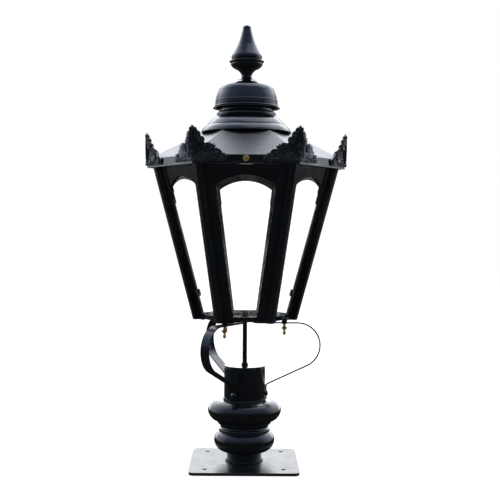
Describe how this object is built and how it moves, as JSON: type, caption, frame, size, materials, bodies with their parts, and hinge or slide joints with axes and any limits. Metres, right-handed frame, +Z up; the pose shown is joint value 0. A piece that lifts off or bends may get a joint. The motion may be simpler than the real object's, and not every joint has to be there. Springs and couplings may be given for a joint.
{
  "type": "post top lantern",
  "caption": "Six-sided tapered lantern with a hinged domed lid and carved corner leaves, on curled flat arms, a turned pedestal and a square base plate",
  "frame": {"origin": "centre of the square base plate's underside, at the middle of its four anchor holes", "axes": "+Z up along the lantern's axis; -Y is the front, the side with the thumbscrew; +X is to the right of a viewer who faces the front; the lid's hinge is at +Y"},
  "size_m": [0.4366, 0.3849, 0.9489],
  "materials": {
    "black_paint": "smooth semi-gloss blue-black outdoor paint",
    "zinc_steel": "zinc-plated steel",
    "brass": "turned brass, slightly dulled",
    "clear_glass": "clear flat pane",
    "lamp_glass": "opal globe, plated cap",
    "porcelain": "glazed white porcelain",
    "black_rubber": "matt black rubber",
    "black_plastic": "matt nylon"
  },
  "bodies": {
    "root": {"arm_bolts": "zinc_steel", "arm_spacers": "black_paint", "base_plate": "black_paint", "base_tube": "black_paint", "cable_gland": "black_plastic", "centre_conduit": "black_paint", "clip_screws": "zinc_steel", "conduit_nuts": "black_paint", "corner_post_1": "black_paint", "corner_post_2": "black_paint", "corner_post_3": "black_paint", "corner_post_4": "black_paint", "corner_post_5": "black_paint", "corner_post_6": "black_paint", "drop_knobs": "brass", "floor_tray": "black_paint", "frog_arm_1": "black_paint", "frog_arm_2": "black_paint", "frog_arm_3": "black_paint", "glass_pane_1": "clear_glass", "glass_pane_2": "clear_glass", "glass_pane_3": "clear_glass", "glass_pane_4": "clear_glass", "glass_pane_5": "clear_glass", "glass_pane_6": "clear_glass", "head_plates": "black_paint", "hinge_leaf_body": "black_paint", "hinge_pin": "zinc_steel", "latch_tab": "black_paint", "lid_seal": "black_rubber", "pane_clips": "zinc_steel", "pedestal_casting": "black_paint", "pedestal_screws": "zinc_steel", "socket_cap": "black_paint", "socket_seat_ring": "black_rubber", "socket_sleeve": "black_paint", "stud_nuts": "zinc_steel", "top_ring": "black_paint"},
    "lid": {"hinge_leaf_lid": "black_paint", "fascia": "black_paint", "roof_shell": "black_paint", "roof_collar": "black_paint", "chimney_neck": "black_paint", "dome": "black_paint", "finial": "black_paint", "tie_stud": "zinc_steel", "lamp_bridge": "zinc_steel", "bridge_screws": "zinc_steel", "lampholder": "porcelain", "lamp": "lamp_glass", "ear_screws": "zinc_steel", "corner_ear_1": "black_paint", "corner_ear_2": "black_paint", "corner_ear_3": "black_paint", "corner_ear_4": "black_paint", "corner_ear_5": "black_paint", "corner_ear_6": "black_paint"},
    "thumbscrew": {"thumbscrew": "brass"},
    "clamp_nut": {"clamp_nut": "brass"}
  },
  "joints": [
    {"name": "lid_hinge", "type": "hinge", "parent": "root", "child": "lid", "pos_m": [0, 0.18998, 0.636], "axis": [-1, 0, 0], "range_deg": [0, 100]},
    {"name": "thumbscrew_turn", "type": "hinge", "parent": "lid", "child": "thumbscrew", "pos_m": [0, -0.18399, 0.6508], "axis": [0, -1, 0], "range_deg": [0, 720]},
    {"name": "clamp_nut_travel", "type": "slide", "parent": "lid", "child": "clamp_nut", "axis": [0, 1, 0], "range_m": [0, 0.0017]}
  ],
  "couplings": [
    {"joint": "clamp_nut_travel", "follows": "thumbscrew_turn", "m_per_rad": 0.00012732}
  ]
}
